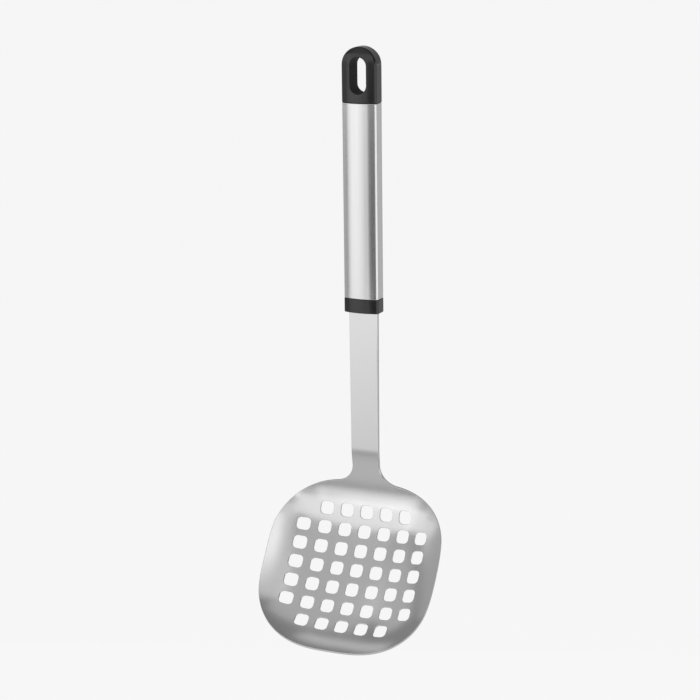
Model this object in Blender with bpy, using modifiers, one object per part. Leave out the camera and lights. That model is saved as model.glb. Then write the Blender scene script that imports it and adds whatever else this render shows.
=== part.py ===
# Skimmer: a perforated steel dish on a flat shank, carried by a steel tube handle with plastic ends.
# It hangs by the slot in its cap. The origin is the top of that slot, where a hook bears.
# Metres, +Z up the handle, the hollow side of the dish towards -Y.
import math

import bmesh
import bpy
from mathutils import Vector

MM = 0.001

# Fits: the gap left between two pieces that seat on each other
FIT = 0.3 * MM

# Handle section: bulged front and back faces, flat sides, rounded corners
HANDLE_WIDTH = 21.4 * MM
HANDLE_DEPTH = 11.9 * MM        # between the crowns of the two faces
FACE_BULGE = 1.8 * MM           # crown of a face above its edges
CORNER_RADIUS = 1.3 * MM
INNER_CORNER = 0.5 * MM         # least corner radius inside the tube
FACE_STEPS = 10
CORNER_STEPS = 4

# Steel sleeve
TUBE_LENGTH = 113.4 * MM
TUBE_WALL = 0.8 * MM

# Hanging cap
SLOT_WIDTH = 9.9 * MM
SLOT_LENGTH = 20.8 * MM
CAP_CROWN = 5.7 * MM            # plastic above the slot
CAP_FOOT = 5.1 * MM             # plastic below the slot
CAP_PLUG = 18.0 * MM
CAP_PLUG_WALL = 1.8 * MM
ARCH_STEPS = 24
SLOT_END_STEPS = 13

# Plastic ends: rounded edges, and how deep their plugs are rooted in them
EDGE_ROUND = 0.5 * MM
EDGE_STEPS = 2
PLUG_ROOT = 2.0 * MM

# Front collar and the tang inside it
COLLAR_HEIGHT = 8.1 * MM
TANG_WIDTH = 13.0 * MM
TANG_LENGTH = 36.0 * MM         # above the shank's shoulders
PLUG_END = 4.0 * MM             # plastic above the tang
PIN_DIAMETER = 3.0 * MM
PIN_RISE = 10.0 * MM            # lower pin above the shoulders
PIN_SPACING = 16.0 * MM
PIN_SETBACK = 0.3 * MM          # pin ends below the plug's surface
PIN_STEPS = 20

# Head sheet, from the collar down: shank, bend, neck, then the dish's three curves
SHANK_WIDTH = 17.8 * MM
SHANK_THICKNESS = 3.0 * MM
SHANK_LENGTH = 82.5 * MM
BEND_ANGLE = math.radians(7.3)  # back, away from the hollow side
BEND_RADIUS = 45.0 * MM
NECK_WIDTH = 17.0 * MM
NECK_LENGTH = 16.0 * MM
NECK_FILLET = 11.9 * MM
DISH_THICKNESS = 1.2 * MM
UPPER_RADIUS = 52.5 * MM
FLOOR_TILT = math.radians(28.7)
FLOOR_LENGTH = 45.3 * MM
FLOOR_TURN = math.radians(10.7)
LOWER_RADIUS = 58.6 * MM

# Dish outline, in the flat sheet, and how its sides rise
DISH_WIDTH = 110.0 * MM
DISH_LENGTH = 109.4 * MM
OUTLINE_POWER = 3.0
OUTLINE_STEPS = 36              # along one half of the rim
FILLET_STEPS = 6
SIDE_RISE = 12.5 * MM
RISE_POWER = 2.72
WALL_BLEND = 1.16               # joins the side walls to the upper wall: 1 adds them, more rounds the join

# Square holes with rounded corners
HOLE_SIDE = 8.1 * MM
HOLE_CORNER = 2.6 * MM
HOLE_CORNER_STEPS = 3
PITCH_ACROSS = 12.65 * MM
PITCH_ALONG = 11.87 * MM
HOLES_ACROSS = 7
HOLES_ALONG = 7
CELLS_PER_PITCH = 3             # sheet cells between hole centres

# Heights above and below the hook's seat
CAP_TOP = CAP_CROWN
ARCH_CENTRE = CAP_TOP - HANDLE_WIDTH / 2
CAP_BASE = -SLOT_LENGTH - CAP_FOOT
TUBE_TOP = CAP_BASE - FIT
TUBE_BASE = TUBE_TOP - TUBE_LENGTH
COLLAR_TOP = TUBE_BASE - FIT
COLLAR_BASE = COLLAR_TOP - COLLAR_HEIGHT

# Distances down the flat sheet from the collar's base
SHOULDER = FIT - COLLAR_HEIGHT
TANG_TOP = SHOULDER - TANG_LENGTH
BEND_END = SHANK_LENGTH + BEND_RADIUS * BEND_ANGLE
DISH_TOP = BEND_END + NECK_LENGTH
DISH_CENTRE = DISH_TOP + DISH_LENGTH / 2
UPPER_TURN = BEND_ANGLE + FLOOR_TILT
UPPER_LENGTH = UPPER_RADIUS * UPPER_TURN

PLUG_INSET = TUBE_WALL + FIT    # how far the plugs lie inside the handle's section
PLUG_DEPTH = HANDLE_DEPTH - 2 * PLUG_INSET
PIN_HEIGHTS = (COLLAR_TOP + PIN_RISE, COLLAR_TOP + PIN_RISE + PIN_SPACING)
CUT_MARGIN = 5.0 * MM           # how far cutters run past what they cut
ROUND_LIMIT = 0.48              # largest corner radius, as a share of the side that it rounds
MERGE = 0.001 * MM              # corners this close are made one
SHARP_ANGLE = math.radians(35)  # edges sharper than this are shaded as edges
BEVEL_ANGLE = math.radians(50)  # edges sharper than this are rounded
FLAT_ANGLE = math.radians(0.05) # faces this close to one plane are made one

PROFILE = (                     # length and turn of each stretch of the sheet's centreline
    (SHANK_LENGTH, 0.0),
    (BEND_RADIUS * BEND_ANGLE, -BEND_ANGLE),
    (NECK_LENGTH, 0.0),
    (UPPER_LENGTH, UPPER_TURN),
    (FLOOR_LENGTH, FLOOR_TURN),
    (DISH_LENGTH, DISH_LENGTH / LOWER_RADIUS),
)


def make_material(name, colour, roughness, metallic):
    material = bpy.data.materials.new(name)
    material.use_nodes = True
    shader = material.node_tree.nodes["Principled BSDF"]
    shader.inputs["Base Color"].default_value = (*colour, 1.0)
    shader.inputs["Roughness"].default_value = roughness
    shader.inputs["Metallic"].default_value = metallic
    return material


def make_collection(name):
    collection = bpy.data.collections.new(name)
    bpy.context.scene.collection.children.link(collection)
    return collection


def add_object(name, mesh, collection, material=None):
    piece = bpy.data.objects.new(name, mesh)
    collection.objects.link(piece)
    if material is not None:
        mesh.materials.append(material)
        mesh.shade_smooth()
        mesh.set_sharp_from_angle(angle=SHARP_ANGLE)
    return piece


def bmesh_to_mesh(name, bm):
    bmesh.ops.recalc_face_normals(bm, faces=bm.faces)
    mesh = bpy.data.meshes.new(name)
    bm.to_mesh(mesh)
    bm.free()
    return mesh


def as_cutter(piece):
    piece.hide_render = True
    piece.display_type = "WIRE"
    return piece


def boolean(piece, other, operation):
    modifier = piece.modifiers.new(operation.lower() + "_" + other.name, "BOOLEAN")
    modifier.operation = operation
    modifier.solver = "EXACT"
    modifier.object = other


def round_edges(piece, width):
    modifier = piece.modifiers.new("rounded_edges", "BEVEL")
    modifier.width = width
    modifier.segments = EDGE_STEPS
    modifier.limit_method = "ANGLE"
    modifier.angle_limit = BEVEL_ANGLE


def prism(name, outlines, low, high):
    """A flat outline, or one inside another, filled and extruded from low to high along Z."""
    curve = bpy.data.curves.new(name, "CURVE")
    curve.dimensions = "2D"
    curve.fill_mode = "BOTH"
    curve.extrude = (high - low) / 2
    for points in outlines:
        spline = curve.splines.new("POLY")
        spline.points.add(len(points) - 1)
        for target, (x, y) in zip(spline.points, points):
            target.co = (x, y, 0.0, 1.0)
        spline.use_cyclic_u = True
    source = bpy.data.objects.new(name, curve)
    bpy.context.scene.collection.objects.link(source)
    bpy.context.view_layer.update()
    evaluated = source.evaluated_get(bpy.context.evaluated_depsgraph_get())
    mesh = bpy.data.meshes.new_from_object(evaluated)
    bpy.data.objects.remove(source)
    bm = bmesh.new()
    bm.from_mesh(mesh)
    bpy.data.meshes.remove(mesh)
    bmesh.ops.remove_doubles(bm, verts=bm.verts, dist=MERGE)
    if len(outlines) == 1:
        bmesh.ops.dissolve_limit(
            bm, angle_limit=FLAT_ANGLE, use_dissolve_boundaries=False, verts=bm.verts, edges=bm.edges)
    bmesh.ops.translate(bm, verts=bm.verts, vec=(0, 0, (low + high) / 2))
    return bmesh_to_mesh(name, bm)


def box(name, size, centre):
    bm = bmesh.new()
    bmesh.ops.create_cube(bm, size=1.0)
    bmesh.ops.scale(bm, verts=bm.verts, vec=size)
    bmesh.ops.translate(bm, verts=bm.verts, vec=centre)
    return bmesh_to_mesh(name, bm)


def cross_cylinder(name, diameter, length, height):
    """A cylinder that lies front to back through the handle's axis."""
    bpy.ops.mesh.primitive_cylinder_add(
        vertices=PIN_STEPS, radius=diameter / 2, depth=length,
        location=(0, 0, height), rotation=(math.pi / 2, 0, 0))
    piece = bpy.context.object
    piece.name = name
    piece.data.name = name
    return piece


def move_to(piece, collection):
    for other in list(piece.users_collection):
        other.objects.unlink(piece)
    collection.objects.link(piece)


def half_section(inset=0.0):
    """Right half of the handle's section, drawn in by inset, from front crown to back crown."""
    bulge_radius = (HANDLE_WIDTH ** 2 / 4 + FACE_BULGE ** 2) / (2 * FACE_BULGE)
    face_centre = bulge_radius - HANDLE_DEPTH / 2
    face = bulge_radius - inset
    corner = max(CORNER_RADIUS - inset, INNER_CORNER)
    corner_x = HANDLE_WIDTH / 2 - inset - corner
    reach = math.asin(corner_x / (face - corner))
    corner_y = face_centre - (face - corner) * math.cos(reach)
    front = []
    for step in range(FACE_STEPS // 2):
        angle = reach * step / (FACE_STEPS // 2)
        front.append((face * math.sin(angle), face_centre - face * math.cos(angle)))
    for step in range(CORNER_STEPS + 1):
        angle = reach + (math.pi / 2 - reach) * step / CORNER_STEPS
        front.append((corner_x + corner * math.sin(angle), corner_y - corner * math.cos(angle)))
    back = [(x, -y) for x, y in reversed(front)]
    return front + back


def section(inset=0.0):
    """The handle's whole section, drawn in by inset."""
    right = half_section(inset)
    left = [(-x, y) for x, y in reversed(right[1:-1])]
    return right + left


def handle_tube(collection, material):
    mesh = prism("handle_tube", [section(), section(TUBE_WALL)], TUBE_BASE, TUBE_TOP)
    return add_object("handle_tube", mesh, collection, material)


def stadium(width, length):
    """Outline of a slot with round ends, its top end at the origin and its length along -Y."""
    radius = width / 2
    points = []
    for centre, start in ((-radius, 0.0), (radius - length, math.pi)):
        for step in range(SLOT_END_STEPS + 1):
            angle = start + math.pi * step / SLOT_END_STEPS
            points.append((radius * math.cos(angle), centre + radius * math.sin(angle)))
    return points


def hanging_cap(collection, cutters, material):
    # The half section turns over the top of the cap, and its foot runs straight down to the tube
    bm = bmesh.new()
    verts = [bm.verts.new((x, y, ARCH_CENTRE)) for x, y in half_section()]
    edges = [bm.edges.new(pair) for pair in zip(verts, verts[1:])]
    bmesh.ops.spin(
        bm, geom=verts + edges, cent=(0, 0, ARCH_CENTRE), axis=(0, -1, 0),
        angle=math.pi, steps=ARCH_STEPS)
    bmesh.ops.remove_doubles(bm, verts=bm.verts, dist=10 * MERGE)
    rim = [edge for edge in bm.edges if edge.is_boundary]
    foot = bmesh.ops.extrude_edge_only(bm, edges=rim)["geom"]
    foot_verts = [item for item in foot if isinstance(item, bmesh.types.BMVert)]
    bmesh.ops.translate(bm, verts=foot_verts, vec=(0, 0, CAP_BASE - ARCH_CENTRE))
    bmesh.ops.holes_fill(bm, edges=[edge for edge in bm.edges if edge.is_boundary])
    cap = add_object("hanging_cap", bmesh_to_mesh("hanging_cap", bm), collection, material)

    reach = HANDLE_DEPTH / 2 + CUT_MARGIN
    slot = add_object(
        "slot_cutter", prism("slot_cutter", [stadium(SLOT_WIDTH, SLOT_LENGTH)], -reach, reach), cutters)
    slot.rotation_euler.x = math.pi / 2
    boolean(cap, as_cutter(slot), "DIFFERENCE")
    round_edges(cap, EDGE_ROUND)

    ring = [section(PLUG_INSET), section(PLUG_INSET + CAP_PLUG_WALL)]
    plug = add_object(
        "cap_plug", prism("cap_plug", ring, CAP_BASE - CAP_PLUG, CAP_BASE + PLUG_ROOT), cutters)
    boolean(cap, as_cutter(plug), "UNION")
    return cap


def front_collar(collection, cutters, material):
    collar = add_object(
        "front_collar", prism("front_collar", [section()], COLLAR_BASE, COLLAR_TOP), collection, material)
    round_edges(collar, EDGE_ROUND)

    plug_top = COLLAR_TOP + TANG_LENGTH + PLUG_END
    plug = add_object(
        "collar_plug",
        prism("collar_plug", [section(PLUG_INSET)], COLLAR_TOP - PLUG_ROOT, plug_top), cutters)
    boolean(collar, as_cutter(plug), "UNION")

    # The shank fills the collar, and the narrower tang a pocket in the plug above it
    gap = SHANK_THICKNESS + 2 * FIT
    shank_size = (SHANK_WIDTH + 2 * FIT, gap, COLLAR_HEIGHT + CUT_MARGIN)
    shank_slot = add_object(
        "shank_slot", box("shank_slot", shank_size, (0, 0, COLLAR_TOP - shank_size[2] / 2)), cutters)
    boolean(collar, as_cutter(shank_slot), "DIFFERENCE")
    pocket_foot = COLLAR_BASE - CUT_MARGIN
    pocket_top = COLLAR_TOP + TANG_LENGTH
    pocket_size = (TANG_WIDTH + 2 * FIT, gap, pocket_top - pocket_foot)
    pocket = add_object(
        "tang_pocket", box("tang_pocket", pocket_size, (0, 0, (pocket_top + pocket_foot) / 2)), cutters)
    boolean(collar, as_cutter(pocket), "DIFFERENCE")

    for place, height in zip(("lower", "upper"), PIN_HEIGHTS):
        hole = cross_cylinder("pin_hole_" + place, PIN_DIAMETER + 2 * FIT, 2 * HANDLE_DEPTH, height)
        move_to(hole, cutters)
        boolean(collar, as_cutter(hole), "DIFFERENCE")
    return collar


def tang_pins(collection, material):
    pins = []
    for place, height in zip(("lower", "upper"), PIN_HEIGHTS):
        pin = cross_cylinder("tang_pin_" + place, PIN_DIAMETER, PLUG_DEPTH - 2 * PIN_SETBACK, height)
        move_to(pin, collection)
        pin.data.materials.append(material)
        pin.data.shade_smooth()
        pin.data.set_sharp_from_angle(angle=SHARP_ANGLE)
        pins.append(pin)
    return pins


def rim_point(angle):
    """Point of the dish's outline in the flat sheet, at an angle from the neck."""
    across = (abs(math.sin(angle)) / (DISH_WIDTH / 2)) ** OUTLINE_POWER
    along = (abs(math.cos(angle)) / (DISH_LENGTH / 2)) ** OUTLINE_POWER
    reach = (across + along) ** (-1 / OUTLINE_POWER)
    return reach * math.sin(angle), DISH_CENTRE - reach * math.cos(angle)


def rim_normal(angle):
    """Outward direction of the outline there."""
    x, s = rim_point(angle)
    across = (x / (DISH_WIDTH / 2)) ** (OUTLINE_POWER - 1) / DISH_WIDTH
    offset = (s - DISH_CENTRE) / (DISH_LENGTH / 2)
    along = math.copysign(abs(offset) ** (OUTLINE_POWER - 1), offset) / DISH_LENGTH
    size = math.hypot(across, along)
    return across / size, along / size


def fillet_angle():
    """Angle on the rim where the fillet from the neck's side meets it."""
    low, high = 0.0, math.pi / 2
    for _ in range(60):
        angle = (low + high) / 2
        centre = rim_point(angle)[0] + NECK_FILLET * rim_normal(angle)[0]
        if centre < NECK_WIDTH / 2 + NECK_FILLET:
            low = angle
        else:
            high = angle
    return (low + high) / 2


def half_outline():
    """Right side of the flat sheet's outline as (x, s), from the tang's end to the foot of the dish."""
    points = [
        (TANG_WIDTH / 2, TANG_TOP),
        (TANG_WIDTH / 2, SHOULDER),
        (SHANK_WIDTH / 2, SHOULDER),
        (SHANK_WIDTH / 2, 0.0),
    ]
    start = fillet_angle()
    x, s = rim_point(start)
    normal_x, normal_s = rim_normal(start)
    centre_x = NECK_WIDTH / 2 + NECK_FILLET
    centre_s = s + NECK_FILLET * normal_s
    sweep = math.atan2(s - centre_s, centre_x - x)
    for step in range(FILLET_STEPS):
        angle = sweep * step / FILLET_STEPS
        points.append((centre_x - NECK_FILLET * math.cos(angle), centre_s + NECK_FILLET * math.sin(angle)))
    for step in range(OUTLINE_STEPS + 1):
        points.append(rim_point(start + (math.pi - start) * step / OUTLINE_STEPS))
    return points


def sheet_outline():
    right = half_outline()[:-1]
    foot = (0.0, rim_point(math.pi)[1])
    left = [(-x, s) for x, s in reversed(right)]
    return [(x, -s) for x, s in right + [foot] + left]


def sheet_rows():
    """Distances down the sheet at which its cells break: few on the shank, more where it curves."""
    rows = [TANG_TOP - CUT_MARGIN, SHANK_LENGTH, (SHANK_LENGTH + BEND_END) / 2, BEND_END]
    cell = PITCH_ALONG / CELLS_PER_PITCH
    row = DISH_CENTRE + cell / 2
    while row > BEND_END + 1.5 * cell:
        row -= cell
    while row < DISH_CENTRE + DISH_LENGTH / 2 + CUT_MARGIN:
        rows.append(row)
        row += cell
    rows.append(row)
    return rows


def flat_sheet(cutters):
    """The flat blank as a grid of cells: X across, -Y down the sheet, +Z the hollow side."""
    rows = sheet_rows()
    cell = PITCH_ACROSS / CELLS_PER_PITCH
    columns = 2 * math.ceil((DISH_WIDTH / 2 + CUT_MARGIN) / cell - 0.5) + 1
    bm = bmesh.new()
    bmesh.ops.create_grid(bm, x_segments=columns, y_segments=len(rows) - 1, size=0.5)
    for vert in bm.verts:
        row = round((0.5 - vert.co.y) * (len(rows) - 1))
        vert.co = (vert.co.x * columns * cell, -rows[row], 0)
    sheet = add_object("flat_sheet", bmesh_to_mesh("flat_sheet", bm), cutters)
    shell = sheet.modifiers.new("thickness", "SOLIDIFY")
    shell.thickness = SHANK_THICKNESS
    shell.offset = 0.0
    return as_cutter(sheet)


def hole_places():
    """Centres (x, s) of the holes: a full grid without its four corners."""
    places = []
    for row in range(HOLES_ALONG):
        for column in range(HOLES_ACROSS):
            if row in (0, HOLES_ALONG - 1) and column in (0, HOLES_ACROSS - 1):
                continue
            x = (column - (HOLES_ACROSS - 1) / 2) * PITCH_ACROSS
            s = DISH_CENTRE + (row - (HOLES_ALONG - 1) / 2) * PITCH_ALONG
            places.append((x, s))
    return places


def hole_punch(cutters):
    """All the punches for the sheet: the square holes and the pins' round holes in the tang."""
    depth = SHANK_THICKNESS + 2 * CUT_MARGIN
    bm = bmesh.new()
    for x, s in hole_places():
        verts = bmesh.ops.create_cube(bm, size=1.0)["verts"]
        bmesh.ops.scale(bm, verts=verts, vec=(HOLE_SIDE, HOLE_SIDE, depth))
        bmesh.ops.translate(bm, verts=verts, vec=(x, -s, 0))
        edges = {edge for vert in verts for edge in vert.link_edges}
        upright = [edge for edge in edges if abs(edge.verts[0].co.z - edge.verts[1].co.z) > depth / 2]
        bmesh.ops.bevel(
            bm, geom=upright, offset=min(HOLE_CORNER, ROUND_LIMIT * HOLE_SIDE), offset_type="OFFSET",
            segments=HOLE_CORNER_STEPS, profile=0.5, affect="EDGES")
    for height in PIN_HEIGHTS:
        radius = PIN_DIAMETER / 2 + FIT
        verts = bmesh.ops.create_cone(
            bm, cap_ends=True, segments=PIN_STEPS, radius1=radius, radius2=radius, depth=depth)["verts"]
        bmesh.ops.translate(bm, verts=verts, vec=(0, height - COLLAR_BASE, 0))
    return as_cutter(add_object("hole_punch", bmesh_to_mesh("hole_punch", bm), cutters))


def profile(s):
    """Depth, height and tilt of the sheet's centreline at a distance s below the collar."""
    y, z, tilt = 0.0, 0.0, 0.0
    for length, turn in PROFILE:
        run = min(s, length)
        angle = turn * run / length
        if turn:
            radius = length / turn
            y += radius * (math.cos(tilt + angle) - math.cos(tilt))
            z -= radius * (math.sin(tilt + angle) - math.sin(tilt))
        else:
            y -= run * math.sin(tilt)
            z -= run * math.cos(tilt)
        tilt += angle
        s -= run
        if s <= 0:
            break
    return y, z, tilt


def ease(amount):
    amount = max(0.0, min(1.0, amount))
    return amount * amount * (3 - 2 * amount)


def side_rise(x, s):
    """How far the side walls lift the sheet: less where the upper wall, below the neck, is high."""
    side = SIDE_RISE * (abs(x) / (DISH_WIDTH / 2)) ** RISE_POWER
    turn_left = UPPER_TURN * min(max(1 - (s - DISH_TOP) / UPPER_LENGTH, 0.0), 1.0)
    upper = UPPER_RADIUS * (1 - math.cos(turn_left))
    return (side ** WALL_BLEND + upper ** WALL_BLEND) ** (1 / WALL_BLEND) - upper


def pressed(x, s, side):
    """Where a point of the flat blank goes in the press. Side is +0.5 on the hollow face, -0.5 behind."""
    y, z, tilt = profile(s)
    into_dish = ease((s - BEND_END) / NECK_LENGTH)
    thickness = SHANK_THICKNESS + (DISH_THICKNESS - SHANK_THICKNESS) * into_dish
    lift = into_dish * side_rise(x, s) + side * thickness
    return Vector((x, y - lift * math.cos(tilt), z + lift * math.sin(tilt)))


def skimmer_head(collection, cutters, material):
    blank = flat_sheet(cutters)
    depth = SHANK_THICKNESS / 2 + CUT_MARGIN
    outline = add_object(
        "sheet_outline", prism("sheet_outline", [sheet_outline()], -depth, depth), cutters)
    boolean(blank, as_cutter(outline), "INTERSECT")
    boolean(blank, hole_punch(cutters), "DIFFERENCE")
    bpy.context.view_layer.update()
    evaluated = blank.evaluated_get(bpy.context.evaluated_depsgraph_get())
    mesh = bpy.data.meshes.new_from_object(evaluated)
    mesh.name = "skimmer_head"
    for vert in mesh.vertices:
        x, y, z = vert.co
        vert.co = pressed(x, -y, z / SHANK_THICKNESS)
    mesh.materials.clear()
    head = add_object("skimmer_head", mesh, collection, material)
    head.location.z = COLLAR_BASE
    return head


def main():
    for existing in list(bpy.data.objects):
        bpy.data.objects.remove(existing)
    parts = make_collection("skimmer")
    cutters = make_collection("cutters")
    polished = make_material("polished_steel", (0.60, 0.60, 0.60), 0.25, 1.0)
    brushed = make_material("brushed_steel", (0.58, 0.58, 0.58), 0.35, 1.0)
    plastic = make_material("black_plastic", (0.035, 0.035, 0.035), 0.45, 0.0)
    pin_steel = make_material("pin_steel", (0.50, 0.50, 0.50), 0.40, 1.0)

    pieces = [
        skimmer_head(parts, cutters, polished),
        front_collar(parts, cutters, plastic),
        handle_tube(parts, brushed),
        hanging_cap(parts, cutters, plastic),
        *tang_pins(parts, pin_steel),
    ]
    hook_seat = bpy.data.objects.new("hook_seat", None)
    parts.objects.link(hook_seat)
    for piece in pieces:
        piece.parent = hook_seat


main()
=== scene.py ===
import math

import bmesh
import bpy
import numpy as np
from mathutils import Matrix, Vector


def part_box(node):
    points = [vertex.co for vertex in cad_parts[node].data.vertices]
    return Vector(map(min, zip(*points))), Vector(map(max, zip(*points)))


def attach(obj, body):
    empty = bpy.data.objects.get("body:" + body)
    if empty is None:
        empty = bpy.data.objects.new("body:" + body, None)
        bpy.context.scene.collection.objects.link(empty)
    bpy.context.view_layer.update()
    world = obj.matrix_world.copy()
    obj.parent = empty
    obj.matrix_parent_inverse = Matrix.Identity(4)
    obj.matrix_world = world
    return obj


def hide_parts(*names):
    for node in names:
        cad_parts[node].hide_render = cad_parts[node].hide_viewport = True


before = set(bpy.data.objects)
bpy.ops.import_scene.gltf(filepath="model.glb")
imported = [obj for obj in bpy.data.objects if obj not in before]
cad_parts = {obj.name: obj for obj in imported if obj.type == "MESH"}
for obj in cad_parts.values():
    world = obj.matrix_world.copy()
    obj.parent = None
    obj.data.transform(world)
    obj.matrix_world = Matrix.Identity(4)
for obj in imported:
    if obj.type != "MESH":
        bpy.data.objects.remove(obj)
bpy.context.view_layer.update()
mm = 0.001
modelling = {"merge": 0.0005 * mm, "rodSides": 32, "smoothAngle": math.radians(40)}
pins = ("tang_pin_lower", "tang_pin_upper")
print("frame loaded:", ", ".join(sorted(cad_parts)))


# Helpers for modelling with operators

def deselectAll():
    if bpy.context.object and bpy.context.object.mode != "OBJECT":
        bpy.ops.object.mode_set(mode="OBJECT")
    bpy.ops.object.select_all(action="DESELECT")


def pick(piece):
    deselectAll()
    piece.select_set(True)
    bpy.context.view_layer.objects.active = piece


def moveSelected(piece, oldLoop, newLoop):   # selected vertices move as the old loop's points do
    mesh = bmesh.from_edit_mesh(piece.data)
    old = np.array(oldLoop)
    for vert in mesh.verts:
        if vert.select:
            nearest = np.argmin(((old - np.array(vert.co)) ** 2).sum(1))
            vert.co = newLoop[nearest]
    bmesh.update_edit_mesh(piece.data)


def startLoop(name, loop):                   # a ring of edges, left selected in edit mode
    deselectAll()
    bpy.ops.mesh.primitive_circle_add(vertices=len(loop), radius=1.0)
    piece = bpy.context.object
    piece.name = piece.data.name = name
    for vert, place in zip(piece.data.vertices, loop):
        vert.co = place
    bpy.ops.object.mode_set(mode="EDIT")
    bpy.ops.mesh.select_all(action="SELECT")
    return piece


def extrudeLoops(piece, loops):              # the selected ring goes from each loop to the next
    for old, new in zip(loops, loops[1:]):
        bpy.ops.mesh.extrude_edges_move()
        moveSelected(piece, old, new)


def mergeDoubles():
    bpy.ops.mesh.select_all(action="SELECT")
    bpy.ops.mesh.remove_doubles(threshold=modelling["merge"])


def closeMesh():                             # merges doubles and turns the faces outwards
    mergeDoubles()
    bpy.ops.mesh.normals_make_consistent(inside=False)
    bpy.ops.object.mode_set(mode="OBJECT")


def loft(name, loops, ends=True):            # rings joined; without ends, the last ring is the first
    piece = startLoop(name, loops[0])
    if ends:
        bpy.ops.mesh.edge_face_add()
        bpy.ops.mesh.select_all(action="SELECT")
    extrudeLoops(piece, loops)
    if ends:
        bpy.ops.mesh.edge_face_add()
    closeMesh()
    return piece


def settled(name):                           # the new primitive, its place and size put into its mesh
    piece = bpy.context.object
    piece.name = name
    bpy.ops.object.transform_apply(location=True, rotation=True, scale=True)
    return piece


def block(name, size, place):                # a cutter with square corners
    deselectAll()
    bpy.ops.mesh.primitive_cube_add(size=1.0, location=place, scale=size)
    return settled(name)


def rod(name, diameter, length, place, turn=0.0):    # a round cutter, upright or turned about x
    deselectAll()
    bpy.ops.mesh.primitive_cylinder_add(
        vertices=modelling["rodSides"], radius=diameter / 2, depth=length,
        location=place, rotation=(turn, 0, 0))
    return settled(name)


def cut(piece, cutter):                      # takes the cutter's shape out of the piece
    pick(piece)
    modifier = piece.modifiers.new("cut", "BOOLEAN")
    modifier.operation = "DIFFERENCE"
    modifier.solver = "EXACT"
    modifier.object = cutter
    bpy.ops.object.modifier_apply(modifier=modifier.name)
    bpy.data.objects.remove(cutter)


def smoothByArea(piece):                     # large faces keep their normal, roundings blend into them
    pick(piece)
    bpy.ops.object.shade_smooth_by_angle(angle=modelling["smoothAngle"], keep_sharp_edges=False)
    modifier = piece.modifiers.new("weighted normals", "WEIGHTED_NORMAL")
    modifier.keep_sharp = True
    bpy.ops.object.modifier_apply(modifier=modifier.name)


def rounding(radius, steps):                 # a quarter round as (drawn in, set back) pairs
    turns = [math.pi / 2 * step / steps for step in range(steps + 1)]
    return [(radius * (1 - math.cos(turn)), radius * (1 - math.sin(turn))) for turn in turns]


def eased(amount):                           # 0 to 1 with a soft start and a soft end
    amount = np.clip(amount, 0.0, 1.0)
    return amount * amount * (3 - 2 * amount)


def pinHeight(node):
    low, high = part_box(node)
    return (low.z + high.z) / 2


def standsFor(piece, node, material):
    piece.data.materials.clear()
    piece.data.materials.append(material)
    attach(piece, "root")
    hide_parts(node)
    print("made", piece.name, len(piece.data.polygons), "faces")


# Shader maths: a value on a socket, and a finish that makes nodes

class Value:
    def __init__(self, finish, socket):
        self.finish = finish
        self.socket = socket

    def maths(self, operation, first, second):
        node = self.finish.node("ShaderNodeMath", {"operation": operation}, {0: first, 1: second})
        return Value(self.finish, node.outputs[0])

    def __add__(self, other):
        return self.maths("ADD", self, other)

    def __sub__(self, other):
        return self.maths("SUBTRACT", self, other)

    def __rsub__(self, other):
        return self.maths("SUBTRACT", other, self)

    def __mul__(self, other):
        return self.maths("MULTIPLY", self, other)

    def __pow__(self, other):
        return self.maths("POWER", self, other)

    def most(self, other):
        return self.maths("MAXIMUM", self, other)

    def least(self, other):
        return self.maths("MINIMUM", self, other)

    __radd__ = __add__
    __rmul__ = __mul__


class Finish:
    def __init__(self, owner):
        owner.use_nodes = True
        self.owner = owner
        self.tree = owner.node_tree
        self.tree.nodes.clear()

    def node(self, kind, settings=None, sockets=None):
        made = self.tree.nodes.new(kind)
        for name, value in (settings or {}).items():
            if name == "stops":
                self.setStops(made.color_ramp, value)
            else:
                setattr(made, name, value)
        for key, value in (sockets or {}).items():
            if isinstance(value, Value):
                self.tree.links.new(value.socket, made.inputs[key])
            elif isinstance(value, bpy.types.NodeSocket):
                self.tree.links.new(value, made.inputs[key])
            else:
                made.inputs[key].default_value = value
        return made

    def setStops(self, ramp, stops):
        while len(ramp.elements) < len(stops):
            ramp.elements.new(1.0)
        for element, (place, tone) in zip(ramp.elements, stops):
            element.position = place
            element.color = (tone, tone, tone, 1.0)

    def value(self, kind, output, settings=None, sockets=None):
        return Value(self, self.node(kind, settings, sockets).outputs[output])

    def place(self):                         # object coordinates
        return self.node("ShaderNodeTexCoord").outputs["Object"]

    def noise(self, scale, detail):          # scale per metre in x, y and z
        mapped = self.node("ShaderNodeMapping", {}, {"Vector": self.place(), "Scale": scale})
        return self.value(
            "ShaderNodeTexNoise", "Fac", {},
            {"Vector": mapped.outputs[0], "Scale": 1.0, "Detail": detail})

    def shade(self, dark, light, amount):    # a colour between two greys
        mixed = self.node(
            "ShaderNodeMix", {"data_type": "RGBA"},
            {"Factor": amount, 6: (*dark, 1.0), 7: (*light, 1.0)})
        return mixed.outputs[2]

    def bump(self, height, look):
        made = self.node("ShaderNodeBump", {}, {
            "Height": height, "Distance": look["bumpDepth"], "Strength": look["bumpStrength"]})
        return made.outputs[0]

    def ray(self, kind):                     # 1 for rays of one kind, 0 for the rest
        return self.value("ShaderNodeLightPath", kind)

    def surface(self, shader):
        self.node("ShaderNodeOutputMaterial", {}, {"Surface": shader})
        return self.owner


# Finishes

def steelSurface(finish, look, grain, relief):       # tone and gloss follow the grain, bump the relief
    shader = finish.node("ShaderNodeBsdfPrincipled", {}, {
        "Base Color": finish.shade(look["dark"], look["light"], grain),
        "Metallic": 1.0,
        "Roughness": look["roughness"] + (grain - 0.5) * look["roughnessSpread"],
        "Normal": finish.bump(relief, look),
    })
    return finish.surface(shader.outputs[0])


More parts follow.
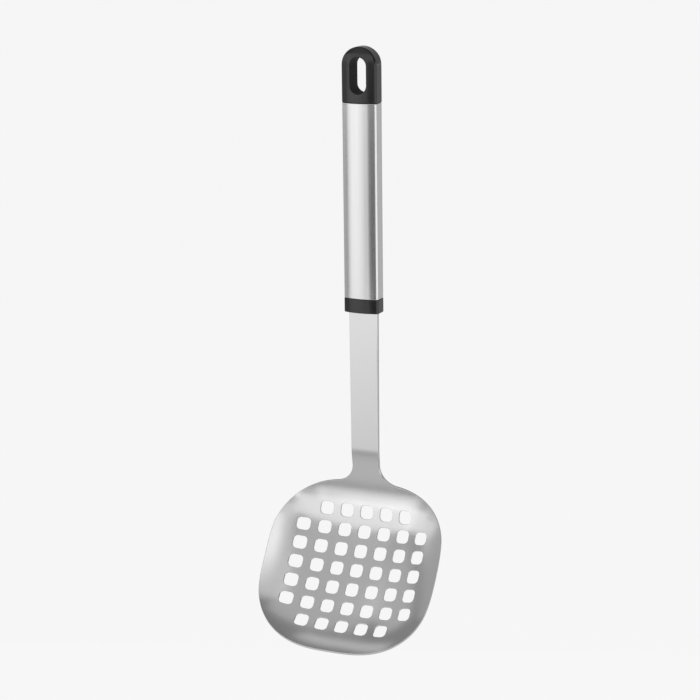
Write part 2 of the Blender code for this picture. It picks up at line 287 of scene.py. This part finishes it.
brushedSteel = {
    "dark": (0.60, 0.60, 0.60), "light": (0.70, 0.70, 0.70),
    "roughness": 0.17, "roughnessSpread": 0.08,
    "fine": (2600.0, 2600.0, 16.0), "fineDetail": 2.0, "fineShare": 0.6,
    "broad": (700.0, 700.0, 5.0), "broadDetail": 3.0, "broadShare": 0.4,
    "bumpDepth": 0.004 * mm, "bumpStrength": 0.35,
}


def brushedSteelFinish():                    # the tube: hairlines run along the handle
    look = brushedSteel
    finish = Finish(bpy.data.materials.new("brushed steel"))
    fine = finish.noise(look["fine"], look["fineDetail"])
    broad = finish.noise(look["broad"], look["broadDetail"])
    streak = fine * look["fineShare"] + broad * look["broadShare"]
    return steelSurface(finish, look, streak, streak)


satinSteel = {
    "dark": (0.63, 0.63, 0.63), "light": (0.70, 0.70, 0.70),
    "roughness": 0.22, "roughnessSpread": 0.08,
    "lines": (1900.0, 60.0, 45.0), "linesDetail": 2.0, "linesShare": 0.5,
    "clouds": (55.0, 55.0, 55.0), "cloudsDetail": 4.0, "cloudsShare": 0.5,
    "bumpDepth": 0.003 * mm, "bumpStrength": 0.25,
}


def satinSteelFinish():                      # the head: satin polish with faint lines and soft clouds
    look = satinSteel
    finish = Finish(bpy.data.materials.new("satin steel"))
    lines = finish.noise(look["lines"], look["linesDetail"])
    clouds = finish.noise(look["clouds"], look["cloudsDetail"])
    grain = lines * look["linesShare"] + clouds * look["cloudsShare"]
    return steelSurface(finish, look, grain, lines)


blackPlastic = {
    "dark": (0.005, 0.005, 0.006), "light": (0.009, 0.009, 0.010), "ior": 1.55,
    "roughness": 0.17, "roughnessSpread": 0.05, "addedInSlot": 0.60,
    "grain": (2800.0, 2800.0, 2800.0), "grainDetail": 2.0,
    "mottle": (180.0, 180.0, 180.0), "mottleDetail": 3.0,
    "bumpDepth": 0.004 * mm, "bumpStrength": 0.15,
}


def blackPlasticFinish():                    # moulded with a fine grain, left matte inside the slot
    look = blackPlastic
    finish = Finish(bpy.data.materials.new("black plastic"))
    grain = finish.noise(look["grain"], look["grainDetail"])
    mottle = finish.noise(look["mottle"], look["mottleDetail"])
    place = finish.node("ShaderNodeSeparateXYZ", {}, {0: finish.place()})
    across, up = Value(finish, place.outputs["X"]), Value(finish, place.outputs["Z"])
    half = cap["slotWidth"] / 2
    above = (up + half).most(0.0)            # how far past the slot's straight sides
    below = (up + (cap["slotLength"] - half)).least(0.0)
    past = above + below
    inSlot = finish.value("ShaderNodeMapRange", 0, {"interpolation_type": "SMOOTHSTEP"}, {
        "Value": (across * across + past * past) ** 0.5,
        "From Min": half, "From Max": half + cap["slotRound"], "To Min": 1.0, "To Max": 0.0})
    roughness = look["roughness"] + (mottle - 0.5) * look["roughnessSpread"]
    shader = finish.node("ShaderNodeBsdfPrincipled", {}, {
        "Base Color": finish.shade(look["dark"], look["light"], mottle),
        "Roughness": roughness + inSlot * look["addedInSlot"],
        "IOR": look["ior"],
        "Normal": finish.bump(grain, look),
    })
    return finish.surface(shader.outputs[0])


pinSteel = {
    "dark": (0.44, 0.44, 0.44), "light": (0.56, 0.56, 0.56), "roughness": 0.32, "roughnessSpread": 0.16,
    "rings": (300.0, 2500.0, 300.0), "ringsDetail": 2.0,
}


def pinSteelFinish():                        # turned pins, hidden in the handle
    look = pinSteel
    finish = Finish(bpy.data.materials.new("pin steel"))
    turned = finish.noise(look["rings"], look["ringsDetail"])
    shader = finish.node("ShaderNodeBsdfPrincipled", {}, {
        "Base Color": finish.shade(look["dark"], look["light"], turned),
        "Metallic": 1.0,
        "Roughness": look["roughness"] + turned * look["roughnessSpread"],
    })
    return finish.surface(shader.outputs[0])


satin = satinSteelFinish()
brushed = brushedSteelFinish()
print("steel finishes ready")


# Handle section, from the tube's own box

tubeLow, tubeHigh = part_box("handle_tube")
handle = {
    "bulge": 1.8 * mm, "corner": 1.3 * mm, "innerCorner": 0.5 * mm,
    "faceSteps": 14, "cornerSteps": 8, "sideSupport": 0.5 * mm,
}


def faceArc():                               # radius of the bulged faces and where its centre lies
    width, depth = tubeHigh.x - tubeLow.x, tubeHigh.y - tubeLow.y
    radius = (width ** 2 / 4 + handle["bulge"] ** 2) / (2 * handle["bulge"])
    return radius, radius - depth / 2


def halfSection(inset):                      # right half, from the front crown round to the back
    radius, centre = faceArc()
    face = radius - inset
    corner = max(handle["corner"] - inset, handle["innerCorner"])
    cornerX = tubeHigh.x - inset - corner
    reach = math.asin(cornerX / (face - corner))
    cornerY = centre - (face - corner) * math.cos(reach)
    front = []
    for step in range(handle["faceSteps"]):
        angle = reach * step / handle["faceSteps"]
        front.append((face * math.sin(angle), centre - face * math.cos(angle)))
    for step in range(handle["cornerSteps"] + 1):
        angle = reach + (math.pi / 2 - reach) * step / handle["cornerSteps"]
        front.append((cornerX + corner * math.sin(angle), cornerY - corner * math.cos(angle)))
    front.append((tubeHigh.x - inset, cornerY + handle["sideSupport"]))
    return front + [(x, -y) for x, y in reversed(front)]


def ring(inset, height):                     # the whole section at a height
    right = halfSection(inset)
    left = [(-x, y) for x, y in reversed(right[1:-1])]
    return [Vector((x, y, height)) for x, y in right + left]


# Steel tube

tube = {"wall": 0.8 * mm, "lip": 0.25 * mm, "lipSteps": 4}


def makeTube():
    low, high = tubeLow.z, tubeHigh.z
    edge = rounding(tube["lip"], tube["lipSteps"])       # from the outer wall inwards
    loops = [ring(drawn, low + back) for drawn, back in reversed(edge)]
    loops += [ring(drawn, high - back) for drawn, back in edge]
    loops += [ring(tube["wall"], high), ring(tube["wall"], low), loops[0]]
    piece = loft("handle_sleeve", loops, ends=False)
    smoothByArea(piece)
    standsFor(piece, "handle_tube", brushed)


makeTube()


# Hanging cap

capLow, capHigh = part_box("hanging_cap")
cap = {
    "proud": 0.10 * mm, "seam": 0.15 * mm, "archSteps": 48,
    "crownStart": 1.5 * mm, "crownEnd": 9.4 * mm,
    "slotWidth": 9.9 * mm, "slotLength": 20.8 * mm, "slotSteps": 24,
    "slotRound": 0.5 * mm, "roundSteps": 5,
    "flareOut": 1.0, "flareUp": 0.22, "cutterReach": 4.0 * mm,       # flare in shares of slotRound
    "footRound": 0.45 * mm, "plugInset": 1.1 * mm, "plugWall": 1.8 * mm,
}
archCentre = capHigh.z - (tubeHigh.x - tubeLow.x) / 2
plastic = blackPlasticFinish()


def bulge(reach):                            # how far the bulged face stands from the cap's middle plane
    radius, centre = faceArc()
    return math.sqrt((radius + cap["proud"]) ** 2 - reach ** 2) - centre


def capFace(x, z):                           # level up the cap, then rounded over towards the arch's edge
    rise = max(z - archCentre, 0.0)
    share = eased((rise - cap["crownStart"]) / (cap["crownEnd"] - cap["crownStart"]))
    return bulge(x) + (bulge(math.hypot(x, rise)) - bulge(x)) * share


def slotOutline():                           # points of the slot with their outward directions
    radius = cap["slotWidth"] / 2
    points = []
    for centre, start in ((-radius, 0.0), (radius - cap["slotLength"], math.pi)):
        for step in range(cap["slotSteps"] + 1):
            turn = start + math.pi * step / cap["slotSteps"]
            across, up = math.cos(turn), math.sin(turn)
            points.append((radius * across, centre + radius * up, across, up))
    return points


def slotLoop(widened, sunk, side):           # the slot widened, and sunk below the face on one side
    loop = []
    for x, z, across, up in slotOutline():
        x, z = x + widened * across, z + widened * up
        loop.append(Vector((x, side * (capFace(x, z) - sunk), z)))
    return loop


def slotCutter():                            # its ends flare to round the slot's rims
    size = cap["slotRound"]
    flare = rounding(size, cap["roundSteps"])[:-1]
    widened, sunk = flare[-1]
    widest = widened + cap["flareOut"] * size
    flare += [(widest, sunk - cap["flareUp"] * size), (widest, -cap["cutterReach"])]
    loops = [slotLoop(*place, -1) for place in reversed(flare)]
    loops += [slotLoop(*place, 1) for place in flare]
    return loft("slot cutter", loops)


def spunArch():                              # half the section spun over the top, its open rim selected
    half = [Vector((x, y, archCentre)) for x, y in halfSection(-cap["proud"])]
    piece = startLoop("slotted_cap", half)
    mesh = bmesh.from_edit_mesh(piece.data)
    mesh.verts.ensure_lookup_table()
    closing = mesh.edges.get((mesh.verts[0], mesh.verts[-1]))
    bpy.ops.mesh.select_all(action="DESELECT")
    bpy.ops.mesh.select_mode(type="EDGE")
    closing.select = True
    bpy.ops.mesh.delete(type="EDGE_FACE")    # opens the ring into the half section
    bpy.ops.mesh.select_all(action="SELECT")
    bpy.ops.mesh.spin(
        steps=cap["archSteps"], angle=math.pi, center=(0, 0, archCentre), axis=(0, 1, 0))
    mergeDoubles()
    bpy.ops.mesh.select_all(action="DESELECT")
    bpy.ops.mesh.select_non_manifold(
        extend=False, use_wire=False, use_boundary=True, use_multi_face=False,
        use_non_contiguous=False, use_verts=False)
    return piece


def footLoops():                             # rings from the arch down to the foot, then round the plug
    proud, base = -cap["proud"], tubeHigh.z + cap["seam"]
    inset, hollow = cap["plugInset"], cap["plugInset"] + cap["plugWall"]
    loops = [ring(proud, archCentre)]
    for drawn, back in rounding(cap["footRound"], cap["roundSteps"]):
        loops.append(ring(proud + drawn, base + back))
    loops += [ring(inset, base), ring(inset, capLow.z)]
    return loops + [ring(hollow, capLow.z), ring(hollow, base)]


def levelArch(piece):                        # the spun arch is levelled up to its rounding
    for vert in piece.data.vertices:
        x, y, z = vert.co
        if z > archCentre:
            spun = bulge(math.hypot(x, z - archCentre))
            vert.co.y += math.copysign(capFace(x, z) - spun, y)


def makeCap():
    piece = spunArch()
    extrudeLoops(piece, footLoops())
    bpy.ops.mesh.edge_face_add()
    closeMesh()
    levelArch(piece)
    cut(piece, slotCutter())
    bpy.ops.object.mode_set(mode="EDIT")
    closeMesh()
    smoothByArea(piece)
    standsFor(piece, "hanging_cap", plastic)


makeCap()


# Front collar

collarLow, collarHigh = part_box("front_collar")
collar = {
    "proud": 0.10 * mm, "seam": 0.15 * mm,
    "footRound": 0.45 * mm, "topRound": 0.30 * mm, "roundSteps": 5,
    "plugInset": 1.1 * mm, "plugTaper": 0.5 * mm,
    "slotWidth": 18.1 * mm, "slotGap": 3.3 * mm, "slotEnd": 0.3 * mm,
    "pocketWidth": 13.6 * mm, "pocketEnd": 4.0 * mm, "cutterMargin": 5.0 * mm,
    "pinHole": 3.3 * mm, "pinHoleLength": 30.0 * mm,
}


def slotBlock(name, width, top):             # cuts from below the collar's base up to a height
    height = top - collarLow.z + collar["cutterMargin"]
    return block(name, (width, collar["slotGap"], height), (0, 0, top - height / 2))


def makeCollar():
    proud, base, top = -collar["proud"], collarLow.z, tubeLow.z - collar["seam"]
    foot = rounding(collar["footRound"], collar["roundSteps"])
    edge = rounding(collar["topRound"], collar["roundSteps"])
    loops = [ring(proud + drawn, base + back) for drawn, back in reversed(foot)]
    loops += [ring(proud + drawn, top - back) for drawn, back in edge]
    inset, taper = collar["plugInset"], collar["plugTaper"]
    loops += [ring(inset, top), ring(inset, collarHigh.z - taper)]
    loops += [ring(inset + taper, collarHigh.z)]
    piece = loft("collar_ferrule", loops)
    cut(piece, slotBlock("shank slot", collar["slotWidth"], tubeLow.z - collar["slotEnd"]))
    cut(piece, slotBlock("tang pocket", collar["pocketWidth"], collarHigh.z - collar["pocketEnd"]))
    for node in pins:
        place = (0, 0, pinHeight(node))
        cut(piece, rod("pin hole", collar["pinHole"], collar["pinHoleLength"], place, math.pi / 2))
    smoothByArea(piece)
    standsFor(piece, "front_collar", plastic)


makeCollar()

pinMaterial = pinSteelFinish()
for node in pins:                            # the pins keep their CAD solids
    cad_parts[node].data.materials.clear()
    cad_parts[node].data.materials.append(pinMaterial)
print("pins finished")


# Skimmer head: blanked and punched flat, then pressed into its curves

head = {
    "shankWidth": 17.8 * mm, "shankThickness": 3.0 * mm, "shankLength": 82.5 * mm,
    "bendAngle": math.radians(7.3), "bendRadius": 45.0 * mm,
    "neckWidth": 17.0 * mm, "neckLength": 16.0 * mm, "neckFillet": 11.9 * mm,
    "thickness": 1.2 * mm, "upperRadius": 52.5 * mm, "floorTilt": math.radians(28.7),
    "floorLength": 45.3 * mm, "floorTurn": math.radians(10.7), "lowerRadius": 58.6 * mm,
    "width": 110.0 * mm, "length": 109.4 * mm, "outlinePower": 3.0,
    "sideRise": 12.5 * mm, "risePower": 2.72, "wallBlend": 1.16,
    "tangWidth": 13.0 * mm, "tangLength": 36.0 * mm, "shoulder": -7.8 * mm,
    "edgeRound": 0.28 * mm, "edgeSteps": 4, "rimSteps": 110, "filletSteps": 16, "filletTries": 60,
    "cell": 1.15 * mm, "bendSteps": 8, "flatLimit": 0.999, "probe": 0.002 * mm,
}
holes = {
    "side": 8.1 * mm, "corner": 2.6 * mm, "cornerSteps": 7,
    "across": 12.65 * mm, "along": 11.87 * mm, "columns": 7, "rows": 7,
    "round": 0.22 * mm, "roundSteps": 3,
    "flareOut": 0.9, "flareUp": 0.3, "punchReach": 2.0 * mm,         # flare in shares of round
    "pin": 3.3 * mm, "pinDepth": 10.0 * mm,
}
bendEnd = head["shankLength"] + head["bendRadius"] * head["bendAngle"]
dishTop = bendEnd + head["neckLength"]
dishCentre = dishTop + head["length"] / 2
dishEnd = dishTop + head["length"]
tangTop = head["shoulder"] - head["tangLength"]
upperTurn = head["bendAngle"] + head["floorTilt"]
upperLength = head["upperRadius"] * upperTurn
stretches = (                                # length and turn of each, down from the collar's base
    (head["shankLength"], 0.0),
    (head["bendRadius"] * head["bendAngle"], -head["bendAngle"]),
    (head["neckLength"], 0.0),
    (upperLength, upperTurn),
    (head["floorLength"], head["floorTurn"]),
    (head["length"], head["length"] / head["lowerRadius"]),      # longer than what is left of the sheet
)


def rimPoint(turn):                          # the dish's outline in the flat sheet, from the neck round
    power = head["outlinePower"]
    across = (abs(math.sin(turn)) / (head["width"] / 2)) ** power
    along = (abs(math.cos(turn)) / (head["length"] / 2)) ** power
    reach = (across + along) ** (-1 / power)
    return reach * math.sin(turn), dishCentre - reach * math.cos(turn)


def rimNormal(turn):
    x, s = rimPoint(turn)
    power = head["outlinePower"] - 1
    offset = (s - dishCentre) / (head["length"] / 2)
    across = (x / (head["width"] / 2)) ** power / head["width"]
    along = math.copysign(abs(offset) ** power, offset) / head["length"]
    size = math.hypot(across, along)
    return across / size, along / size


def filletStart():                           # where the neck's fillet meets the rim, by halving
    low, high = 0.0, math.pi / 2
    for _ in range(head["filletTries"]):
        turn = (low + high) / 2
        centre = rimPoint(turn)[0] + head["neckFillet"] * rimNormal(turn)[0]
        if centre < head["neckWidth"] / 2 + head["neckFillet"]:
            low = turn
        else:
            high = turn
    return (low + high) / 2


def blankOutline():                          # the whole outline as (x, s), s down from the collar's base
    tang, shank = head["tangWidth"] / 2, head["shankWidth"] / 2
    right = [(tang, tangTop), (tang, head["shoulder"]), (shank, head["shoulder"]), (shank, 0.0)]
    start = filletStart()
    x, s = rimPoint(start)
    fillet = head["neckFillet"]
    centreX = head["neckWidth"] / 2 + fillet
    centreS = s + fillet * rimNormal(start)[1]
    sweep = math.atan2(s - centreS, centreX - x)
    for step in range(head["filletSteps"]):
        turn = sweep * step / head["filletSteps"]
        right.append((centreX - fillet * math.cos(turn), centreS + fillet * math.sin(turn)))
    for step in range(head["rimSteps"]):
        right.append(rimPoint(start + (math.pi - start) * step / head["rimSteps"]))
    left = [(-x, s) for x, s in reversed(right)]
    return right + [(0.0, dishEnd)] + left


def drawnIn(outline, amount):                # the outline moved inwards, corners mitred
    points = np.array(outline)
    before = points - np.roll(points, 1, axis=0)
    after = np.roll(points, -1, axis=0) - points
    before /= np.linalg.norm(before, axis=1)[:, None]
    after /= np.linalg.norm(after, axis=1)[:, None]
    inward = np.stack((-(before + after)[:, 1], (before + after)[:, 0]), 1)
    inward /= (1 + (before * after).sum(1))[:, None]
    return points + inward * amount


def flatLoop(points, z):
    return [Vector((x, s, z)) for x, s in points]


def blank():                                 # the flat sheet with rounded edges
    outline, half = blankOutline(), head["thickness"] / 2
    edge = rounding(head["edgeRound"], head["edgeSteps"])
    loops = [flatLoop(drawnIn(outline, drawn), back - half) for drawn, back in reversed(edge)]
    loops += [flatLoop(drawnIn(outline, drawn), half - back) for drawn, back in edge]
    return loft("skimmer_bowl", loops)


def squareLoop(side, corner, z):             # a square with rounded corners
    loop = []
    inner = side / 2 - corner
    for quarter in range(4):
        centre = Matrix.Rotation(quarter * math.pi / 2, 2) @ Vector((inner, inner))
        for step in range(holes["cornerSteps"] + 1):
            turn = (quarter + step / holes["cornerSteps"]) * math.pi / 2
            x, s = centre.x + corner * math.cos(turn), centre.y + corner * math.sin(turn)
            loop.append(Vector((x, s, z)))
    return loop


def punch():                                 # its ends flare to round the hole's edges
    size, half = holes["round"], head["thickness"] / 2
    flare = [(drawn, half - back) for drawn, back in rounding(size, holes["roundSteps"])[:-1]]
    widest = flare[-1][0] + holes["flareOut"] * size
    flare += [(widest, half + holes["flareUp"] * size), (widest, half + holes["punchReach"])]
    levels = [(widened, -height) for widened, height in reversed(flare)] + flare
    loops = []
    for widened, height in levels:
        loops.append(squareLoop(holes["side"] + 2 * widened, holes["corner"] + widened, height))
    return loft("punch", loops)


def holePlaces():                            # a square grid without its four corners
    places = []
    for row in range(holes["rows"]):
        for column in range(holes["columns"]):
            if row in (0, holes["rows"] - 1) and column in (0, holes["columns"] - 1):
                continue
            x = (column - (holes["columns"] - 1) / 2) * holes["across"]
            s = dishCentre + (row - (holes["rows"] - 1) / 2) * holes["along"]
            places.append(Vector((x, s, 0.0)))
    return places


def punches():                               # one punch, copied to every hole and joined
    first = punch()
    copies = []
    for place in holePlaces():
        copy = first.copy()
        copy.data = first.data.copy()
        copy.data.transform(Matrix.Translation(place))
        bpy.context.collection.objects.link(copy)
        copies.append(copy)
    bpy.data.objects.remove(first)
    pick(copies[0])
    for copy in copies:
        copy.select_set(True)
    bpy.ops.object.join()
    return bpy.context.object


def pinPunch(node):                          # hole for a pin through the tang
    return rod("pin punch", holes["pin"], holes["pinDepth"], (0, collarLow.z - pinHeight(node), 0))


def divide(piece):                           # bisects the flat sheet finely where it will curve
    cell, steps = head["cell"], head["bendSteps"]
    bend = bendEnd - head["shankLength"]
    rows = [head["shankLength"] + bend * step / steps for step in range(steps + 1)]
    rows += list(np.arange(bendEnd + cell, dishEnd, cell))
    reach = math.floor(head["width"] / 2 / cell)
    columns = np.arange(-reach, reach + 1) * cell
    pick(piece)
    bpy.ops.object.mode_set(mode="EDIT")
    for row in rows:
        bpy.ops.mesh.select_all(action="SELECT")
        bpy.ops.mesh.bisect(plane_co=(0, row, 0), plane_no=(0, 1, 0))
    for column in columns:
        bpy.ops.mesh.select_all(action="SELECT")
        bpy.ops.mesh.bisect(plane_co=(column, 0, 0), plane_no=(1, 0, 0))
    bpy.ops.object.mode_set(mode="OBJECT")
    modifier = piece.modifiers.new("triangles", "TRIANGULATE")
    modifier.min_vertices = 5                # squares stay whole
    bpy.ops.object.modifier_apply(modifier=modifier.name)


def flatNormals(mesh):                       # per corner: faces stay flat, walls blend round their edges
    half = head["thickness"] / 2 - modelling["merge"]
    places = np.zeros((len(mesh.vertices), 3))
    sums = np.zeros((len(mesh.vertices), 3))
    for vert in mesh.vertices:
        places[vert.index] = vert.co
    for face in mesh.polygons:
        if abs(face.normal.z) < head["flatLimit"]:
            for vert in face.vertices:
                sums[vert] += face.normal
    lengths = np.linalg.norm(sums, axis=1)
    lengths[lengths == 0.0] = 1.0            # vertices away from any wall
    sums /= lengths[:, None]
    normals = np.zeros((len(mesh.loops), 3))
    for face in mesh.polygons:
        for loop in face.loop_indices:
            vert = mesh.loops[loop].vertex_index
            if abs(face.normal.z) >= head["flatLimit"]:
                normals[loop] = face.normal
            elif abs(places[vert, 2]) > half:
                normals[loop] = (0, 0, math.copysign(1.0, places[vert, 2]))
            else:
                normals[loop] = sums[vert]
    return places, normals


def sheetLine(s):                            # the sheet's middle line: y, z and tilt at a distance down it
    y, z, tilt = np.zeros_like(s), np.zeros_like(s), np.zeros_like(s)
    left = s.copy()
    for length, turn in stretches:
        run = np.minimum(left, length)
        if turn:
            run = np.maximum(run, 0.0)
            radius, angle = length / turn, turn * run / length
            y += radius * (np.cos(tilt + angle) - np.cos(tilt))
            z -= radius * (np.sin(tilt + angle) - np.sin(tilt))
            tilt += angle
        else:
            y -= run * np.sin(tilt)
            z -= run * np.cos(tilt)
        left = np.maximum(left - run, 0.0)
    return y, z, tilt


def sideRise(x, s):                          # side walls, run into the wall below the neck
    blend = head["wallBlend"]
    side = head["sideRise"] * (np.abs(x) / (head["width"] / 2)) ** head["risePower"]
    turnLeft = upperTurn * np.clip(1 - (s - dishTop) / upperLength, 0.0, 1.0)
    upper = head["upperRadius"] * (1 - np.cos(turnLeft))
    return (side ** blend + upper ** blend) ** (1 / blend) - upper


def pressed(flat):                           # points of the flat sheet where the press leaves them
    x, s, lift = flat.T
    y, z, tilt = sheetLine(s)
    intoDish = eased((s - bendEnd) / head["neckLength"])
    thickness = head["shankThickness"] + (head["thickness"] - head["shankThickness"]) * intoDish
    lift = intoDish * sideRise(x, s) + lift / head["thickness"] * thickness
    return np.stack((x, y - lift * np.cos(tilt), collarLow.z + z + lift * np.sin(tilt)), 1)


def press(piece):                            # the mesh and its normals follow the same mapping
    mesh = piece.data
    flat, normals = flatNormals(mesh)
    corners = flat[[loop.vertex_index for loop in mesh.loops]]
    step = head["probe"]
    along = []                               # how the mapping stretches each of the sheet's axes
    for axis in np.eye(3):
        ahead, behind = pressed(corners + step * axis), pressed(corners - step * axis)
        along.append((ahead - behind) / (2 * step))
    turned = normals[:, :1] * np.cross(along[1], along[2])
    turned += normals[:, 1:2] * np.cross(along[2], along[0])
    turned += normals[:, 2:] * np.cross(along[0], along[1])
    handed = np.sign((np.cross(along[0], along[1]) * along[2]).sum(1))[:, None]
    turned *= handed / np.linalg.norm(turned, axis=1)[:, None]
    for vert, place in zip(mesh.vertices, pressed(flat)):
        vert.co = place
    if handed[0, 0] < 0:
        mesh.flip_normals()
    mesh.shade_smooth()
    mesh.update()
    return turned


def makeHead():
    piece = blank()
    cut(piece, punches())
    for node in pins:
        cut(piece, pinPunch(node))
    print("blanked and punched", len(piece.data.polygons), "faces")
    divide(piece)
    print("divided", len(piece.data.polygons), "faces")
    turned = press(piece)
    piece.data.normals_split_custom_set([tuple(normal) for normal in turned])
    standsFor(piece, "skimmer_head", satin)


makeHead()


# Floor, world, lamps and camera

studio = {
    "backdrop": 0.95, "backdropShare": 0.96, "horizon": 0.92, "aim": (0.0, 0.0, -0.22),
    "floorHeight": -2.6, "floorRadius": 60.0, "floorSides": 64, "floorTone": 0.80,
    "clouds": (3.0, 3.0, 3.0), "cloudsDetail": 2.0, "cloudsTone": 0.98,
    # poolRadius and pool: painted light, a glowing pool on the floor that only reflections see, dim beyond
    # its edge
    "poolRadius": 10.0,
    "pool": ((0.0, 0.66), (0.44, 0.66), (0.48, 0.55), (0.57, 0.55), (0.61, 0.10), (1.0, 0.10)),
    "walls": ((0.0, 0.10), (0.50, 0.12), (0.625, 0.25), (0.75, 0.29), (1.0, 0.29)),
    "wallsFace": (-40.0, 25.0),
}
# Each lamp's azimuth from the front towards the right, elevation, distance, width, height and glow
softboxes = {
    "left softbox": (-50.5, 7.8, 6.0, 1.6, 2.55, 0.80),
    "left softbox edge": (-66.0, 11.0, 6.0, 1.7, 1.75, 0.74),
    "left side panel": (-86.0, 12.0, 6.0, 2.4, 1.9, 0.21),
    "front softbox": (-12.8, 11.5, 6.0, 7.6, 3.3, 0.84),
    "shoulder light": (31.0, 20.0, 6.0, 2.1, 2.2, 0.60),
    "top panel": (-13.0, 54.0, 6.0, 5.6, 6.4, 0.28),
    "left top panel": (-65.0, 39.0, 6.0, 3.6, 2.6, 0.29),
    "back strip": (-116.0, 58.0, 6.0, 1.1, 4.0, 0.43),
    "low softbox": (-26.5, -11.5, 6.0, 5.2, 2.0, 0.74),
    "low softbox middle": (-30.0, -8.5, 6.0, 3.4, 1.4, 0.26),
    "low softbox core": (-32.0, -7.0, 6.0, 2.1, 1.1, 0.21),
    "right softbox": (37.0, -11.0, 6.0, 5.1, 2.1, 1.20),
    "far right softbox": (90.0, -4.5, 6.0, 6.9, 3.4, 1.20),
    "hair light": (38.0, 43.0, 6.0, 2.8, 2.5, 0.44),
    "hair light core": (45.5, 32.0, 6.0, 1.9, 1.8, 0.85),
    "left wall": (-86.5, -9.5, 6.0, 7.8, 2.4, 0.45),
    "back panel": (148.0, -10.0, 6.0, 3.4, 2.3, 0.52),
    "back wall": (168.0, 18.0, 6.0, 9.4, 4.4, 0.36),
    "rear softbox": (200.0, -12.0, 6.0, 7.2, 2.6, 0.66),
    "dish card": (-1.3, -13.0, 0.63, 0.19, 0.145, 0.50),
}


def away(azimuth, elevation):                # direction from the object to a lamp or a wall
    turn, rise = math.radians(azimuth), math.radians(elevation)
    level = math.cos(rise)
    return Vector((math.sin(turn) * level, -math.cos(turn) * level, math.sin(rise)))


def floorFinish():                           # pale to the camera; to reflections, a painted pool of light that glows from the floor itself
    finish = Finish(bpy.data.materials.new("pale floor"))
    tone = studio["floorTone"]
    clouds = finish.noise(studio["clouds"], studio["cloudsDetail"])
    diffuse = finish.node("ShaderNodeBsdfDiffuse", {}, {
        "Color": finish.shade((tone * studio["cloudsTone"],) * 3, (tone,) * 3, clouds)})
    reach = finish.value("ShaderNodeVectorMath", "Value", {"operation": "LENGTH"}, {0: finish.place()})
    # painted light: the pool's glow, bright in the middle and dim beyond, lights no surface and shows only
    # in reflections
    pool = finish.value(
        "ShaderNodeValToRGB", "Color", {"stops": studio["pool"]},
        {0: reach * (1 / studio["poolRadius"])})
    seen, mirrored = finish.ray("Is Camera Ray"), finish.ray("Is Glossy Ray")
    glow = finish.node("ShaderNodeEmission", {}, {
        "Color": (1.0, 1.0, 1.0, 1.0), "Strength": seen * studio["backdrop"] + mirrored * pool})
    share = seen.most(mirrored) * studio["backdropShare"]
    mixed = finish.node(
        "ShaderNodeMixShader", {}, {0: share, 1: diffuse.outputs[0], 2: glow.outputs[0]})
    return finish.surface(mixed.outputs[0])


def makeFloor():
    deselectAll()
    bpy.ops.mesh.primitive_circle_add(
        vertices=studio["floorSides"], radius=studio["floorRadius"], fill_type="NGON",
        location=(0, 0, studio["floorHeight"]))
    floor = settled("floor")
    floor.data.materials.append(floorFinish())


def makeWorld():                             # pale to the camera, dim walls to all else
    world = bpy.data.worlds.new("studio")
    bpy.context.scene.world = world
    finish = Finish(world)
    direction = finish.node("ShaderNodeTexCoord").outputs["Generated"]
    facing = finish.value(
        "ShaderNodeVectorMath", "Value", {"operation": "DOT_PRODUCT"},
        {0: direction, 1: away(*studio["wallsFace"])})
    walls = finish.node("ShaderNodeValToRGB", {"stops": studio["walls"]}, {0: facing * 0.5 + 0.5})
    room = finish.node("ShaderNodeBackground", {}, {"Color": walls.outputs[0]})
    pale = finish.node("ShaderNodeBackground", {}, {"Color": (studio["horizon"],) * 3 + (1.0,)})
    seen = finish.ray("Is Camera Ray")
    mixed = finish.node("ShaderNodeMixShader", {}, {0: seen, 1: room.outputs[0], 2: pale.outputs[0]})
    finish.node("ShaderNodeOutputWorld", {}, {"Surface": mixed.outputs[0]})


def makeSoftbox(name, azimuth, elevation, distance, width, height, glow):
    outwards = away(azimuth, elevation)
    deselectAll()
    bpy.ops.object.light_add(type="AREA", location=Vector(studio["aim"]) + outwards * distance)
    lamp = bpy.context.object
    lamp.name = name
    lamp.rotation_euler = outwards.to_track_quat("Z", "Y").to_euler()
    lamp.data.shape = "RECTANGLE"
    lamp.data.size = width
    lamp.data.size_y = height
    lamp.data.energy = math.pi * width * height * glow       # so that glow is how bright it looks
    lamp.visible_camera = False


viewpoint = {
    "place": (0.50464, -1.13029, 0.13427), "azimuth": 24.450, "tilt": 13.852, "roll": -0.684,
    "lens": 112.22, "sensor": 36.0,
}


def makeCamera():
    deselectAll()
    bpy.ops.object.camera_add(location=viewpoint["place"])
    camera = bpy.context.object
    turn = Matrix.Rotation(math.radians(viewpoint["azimuth"]), 3, "Z")
    turn = turn @ Matrix.Rotation(math.radians(90 - viewpoint["tilt"]), 3, "X")
    turn = turn @ Matrix.Rotation(math.radians(viewpoint["roll"]), 3, "Z")
    camera.rotation_euler = turn.to_euler()
    camera.data.sensor_width = viewpoint["sensor"]
    camera.data.lens = viewpoint["lens"]
    bpy.context.scene.camera = camera


makeFloor()
makeWorld()
for lampName, lampSizes in softboxes.items():
    makeSoftbox(lampName, *lampSizes)
makeCamera()
bpy.context.scene.view_settings.view_transform = "Standard"
print("floor, lamps and camera set")
